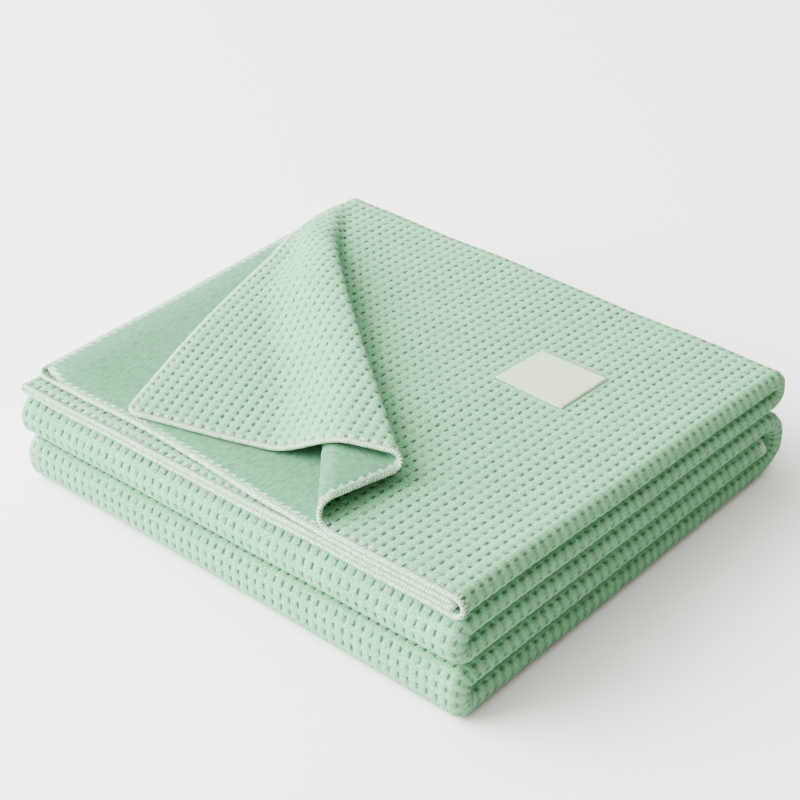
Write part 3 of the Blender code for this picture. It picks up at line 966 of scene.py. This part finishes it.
def label_material():
    """Plain woven off-white tape."""
    nodes = cloth_nodes("woven label", LABEL_ROUGHNESS)
    place = nodes.place()
    weft, warp = (
        nodes.maths("SINE", nodes.maths("MULTIPLY", part, 2 * math.pi / TAPE_PITCH))
        for part in nodes.split(place)
    )
    colour = nodes.mixed(nodes.noise(place, *TAPE_NOISE), LABEL_SHADE, LABEL_LIGHT)
    return nodes.finish(colour, nodes.maths("MULTIPLY", weft, warp), *LABEL_BUMP)


# ---------------------------------------------------------------- threads


def tube(points, polygons, line, radius, sides):
    """Adds a thin closed tube along a line of points."""
    ahead = unit(np.gradient(line, axis=0))
    helper = np.where(np.abs(ahead[:, 2:3]) > STEEP, [[1.0, 0.0, 0.0]], [[0.0, 0.0, 1.0]])
    first = unit(np.cross(ahead, helper))
    second = np.cross(ahead, first)
    base = len(points)
    for k, size in enumerate(np.broadcast_to(radius, len(line))):
        for side in range(sides):
            angle = 2 * math.pi * side / sides
            outward = math.cos(angle) * first[k] + math.sin(angle) * second[k]
            points.append(line[k] + size * outward)
    for a in range(base, base + (len(line) - 1) * sides, sides):
        for side in range(sides):
            other = (side + 1) % sides
            polygons.append([a + side, a + sides + side, a + sides + other, a + other])
    polygons.append([base + side for side in range(sides)])
    last = base + (len(line) - 1) * sides
    polygons.append([last + side for side in reversed(range(sides))])


def hem_point(edge, along, inward):
    """u and v of points this far along one edge of the cloth and this far in from it."""
    if edge == "front":
        return along, inward
    if edge == "left":
        return inward, along
    return CLOTH_WIDTH - inward, along


def draws(chance, count):
    """Random numbers from -1 to 1."""
    return np.array([chance.uniform(-1, 1) for _ in range(count)])


def add_cord(points, polygons, edge, length, chance):
    """The lumpy cord on the rim; gives the stitches counted along it, for each of its points."""
    steps = np.linspace(HEM_END, length - HEM_END, int(length / STITCH_PITCH) * CORD_STATIONS)
    u, v = hem_point(edge, steps, np.full(len(steps), CORD_INSET))
    line = cloth_surface(u, v, np.zeros(len(steps)))
    lumps = CORD_MEAN + CORD_LUMP * np.cos(2 * math.pi * steps / STITCH_PITCH)
    radius = CORD_RADIUS * lumps + CORD_UNEVEN * draws(chance, len(steps))
    tube(points, polygons, line, radius, CORD_SIDES)
    around = np.tile(np.arange(CORD_SIDES) / CORD_SIDES, len(steps))
    return np.repeat(steps / STITCH_PITCH, CORD_SIDES) + around


def add_stitches(points, polygons, edge, length, chance, face):
    """One row of stitches on a face of the cloth, in from its rim."""
    count = int(length / STITCH_PITCH)
    stations = (np.arange(count) + 0.5) * length / count
    tooth = np.abs((stations / TOOTH_PITCH) % 1.0 * 2.0 - 1.0)
    reach = STITCH_REACH + TOOTH_REACH * tooth + REACH_UNEVEN * draws(chance, count)
    slant = STITCH_SLANT + SLANT_UNEVEN * draws(chance, count)
    shares = np.linspace(0.0, 1.0, len(STITCH_LIFTS))
    along = np.clip(stations[:, None] + slant[:, None] * shares, HEM_END, length - HEM_END)
    inward = np.maximum(reach[:, None] * shares, STITCH_START)
    u, v = hem_point(edge, along.ravel(), inward.ravel())
    lines = cloth_surface(u, v, face * np.tile(STITCH_LIFTS, count))
    for line in lines.reshape(count, len(STITCH_LIFTS), 3):
        tube(points, polygons, line, STITCH_RADIUS * STITCH_TAPER, STITCH_SIDES)


def hem_threads(name, edge, length, chance, material):
    """The thread wrapped over an edge: a lumpy cord on the rim, and stitches on both faces."""
    points, polygons = [], []
    turns = add_cord(points, polygons, edge, length, chance)
    for face in (1.0, -1.0):
        add_stitches(points, polygons, edge, length, chance, face)
    weave = np.zeros((len(points), 2))
    weave[: len(turns), 0] = turns
    return made_object(name, over_floor(np.array(points)), polygons, [material], weave=weave)


# ---------------------------------------------------------------- the label


def label_surface(along, across, lift):
    """Points of the label over the cloth, from -0.5 to 0.5 of its length and width."""
    a, b = along * LABEL_SIZE[0], across * LABEL_SIZE[1]
    x = LABEL_CENTRE[0] + a * math.cos(LABEL_TURN) - b * math.sin(LABEL_TURN)
    y = LABEL_CENTRE[1] + a * math.sin(LABEL_TURN) + b * math.cos(LABEL_TURN)
    swell = LABEL_SWELL * np.sin(SWELL_ALONG * along + SWELL_PHASE)
    swell = swell * np.cos(SWELL_ACROSS * across) * (1 - 4 * along * along)
    z = ALONG_LEVELS[0] + OUTER_LAYER + LABEL_LIFT + lift + np.maximum(swell, 0.0)
    return np.stack(settled(x, y, z), axis=-1)


def label_mesh():
    """Points and polygons of the bare label, closed all round."""
    n = LABEL_STATIONS
    share = np.linspace(-0.5, 0.5, n)
    along, across = (grid.ravel() for grid in np.meshgrid(share, share))
    edge = np.maximum(np.abs(along), np.abs(across))
    drop = EDGE_DROP * np.clip((edge - EDGE_START) / EDGE_WIDTH, 0.0, 1.0)
    upper = label_surface(along, across, LABEL_THICKNESS / 2 - drop)
    lower = label_surface(along, across, -LABEL_THICKNESS / 2)
    polygons = []
    for a in (j * n + i for j in range(n - 1) for i in range(n - 1)):
        polygons.append([a, a + 1, a + n + 1, a + n])
        polygons.append([n * n + k for k in (a + n, a + n + 1, a + 1, a)])
    ring = list(range(n)) + [j * n + n - 1 for j in range(1, n)]
    ring += [(n - 1) * n + i for i in range(n - 2, -1, -1)] + [j * n for j in range(n - 2, 0, -1)]
    for a, b in zip(ring, ring[1:] + ring[:1]):
        polygons.append([b, a, n * n + a, n * n + b])
    return np.concatenate([upper, lower]), polygons


def label_stitches():
    """Points and polygons of the small stitches along the label's four edges."""
    points, polygons = [], []
    lift = LABEL_THICKNESS / 2 + LABEL_STITCH_LIFTS
    for runs_along in (True, False):
        for edge in (-LABEL_INSET, LABEL_INSET):
            for stitch in range(LABEL_STITCHES):
                start = -LABEL_INSET + (stitch + STITCH_GAP) * 2 * LABEL_INSET / LABEL_STITCHES
                end = start + STITCH_LENGTH * LABEL_INSET / LABEL_STITCHES
                line = np.linspace(start, end, len(lift))
                rest = np.full(len(lift), edge)
                along, across = (line, rest) if runs_along else (rest, line)
                row = label_surface(along, across, lift)
                tube(points, polygons, row, LABEL_STITCH_RADIUS, STITCH_SIDES)
    return points, polygons


# ---------------------------------------------------------------- stage


def add_stage():
    """A pale floor."""
    material = bpy.data.materials.new("pale floor")
    material.use_nodes = True
    shader = material.node_tree.nodes["Principled BSDF"]
    shader.inputs["Base Color"].default_value = FLOOR_COLOUR
    shader.inputs["Roughness"].default_value = FLOOR_ROUGHNESS
    corners = ((-1, -1), (1, -1), (1, 1), (-1, 1))
    points = [(FLOOR_REACH * x, FLOOR_REACH * y, 0.0) for x, y in corners]
    floor = made_object("floor", points, [[0, 1, 2, 3]], [material])


def add_surround():
    """A soft surround, bright on the left and dim and warm on the right."""
    world = bpy.data.worlds.new("soft surround")
    nodes = Nodes(world)
    view = nodes.add("ShaderNodeTexCoord").outputs["Generated"]
    side = nodes.add("ShaderNodeVectorMath", {0: view, 1: BRIGHT_SIDE}, operation="DOT_PRODUCT")
    share = nodes.contrast(side.outputs["Value"], *BRIGHT_LEVELS)
    values = {"Value": share, "To Min": DIM_STRENGTH, "To Max": BRIGHT_STRENGTH}
    background = nodes.tree.nodes["Background"]
    nodes.give(background.inputs["Color"], nodes.mixed(share, DIM_TINT, BRIGHT_TINT))
    nodes.give(background.inputs["Strength"], nodes.add("ShaderNodeMapRange", values).outputs[0])
    bpy.context.scene.world = world


def add_key_light():
    """A large key light that points at the blanket."""
    data = bpy.data.lights.new("key", "AREA")
    data.energy = KEY_POWER
    data.size = KEY_SIZE
    data.color = KEY_COLOUR
    light = bpy.data.objects.new("key", data)
    light.location = KEY_PLACE
    light.rotation_mode = "QUATERNION"
    light.rotation_quaternion = (-Vector(KEY_PLACE)).to_track_quat("-Z", "Y")
    bpy.context.scene.collection.objects.link(light)


def add_camera():
    """The camera the picture is taken with."""
    data = bpy.data.cameras.new("camera")
    data.lens = CAMERA_LENS
    data.sensor_width = SENSOR_WIDTH
    camera = bpy.data.objects.new("camera", data)
    azimuth, elevation = math.radians(CAMERA_AZIMUTH), math.radians(CAMERA_ELEVATION)
    back = Vector(
        (
            math.sin(azimuth) * math.cos(elevation),
            -math.cos(azimuth) * math.cos(elevation),
            math.sin(elevation),
        )
    )
    camera.location = CAMERA_PLACE
    camera.rotation_mode = "QUATERNION"
    camera.rotation_quaternion = (-back).to_track_quat("-Z", "Y")
    bpy.context.scene.collection.objects.link(camera)
    bpy.context.scene.camera = camera


# ---------------------------------------------------------------- the scene


def main():
    waffle, fleece = waffle_material(), fleece_material()
    thread, tape = thread_material(), label_material()
    points, polygons, numbers, weave = cloth_mesh()
    cloth = [waffle, fleece, thread]
    blanket = made_object("blanket_cloth", points, polygons, cloth, numbers, weave)
    chance = random.Random(SEED)
    hems = [
        hem_threads("front_hem_thread", "front", CLOTH_WIDTH, chance, thread),
        hem_threads("left_hem_thread", "left", CLOTH_LENGTH, chance, thread),
        hem_threads("inner_hem_thread", "right", CLOTH_LENGTH, chance, thread),
    ]
    label = made_object("label_tape", *label_mesh(), [tape])
    stitching = made_object("label_stitching", *label_stitches(), [thread])
    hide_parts("blanket")
    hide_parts("label")
    for piece, slot in [(blanket, "cloth"), (label, "label"), (stitching, "label")]:
        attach(piece, "root")
    for hem in hems:
        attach(hem, "root")
    add_stage()
    add_surround()
    add_key_light()
    add_camera()


main()
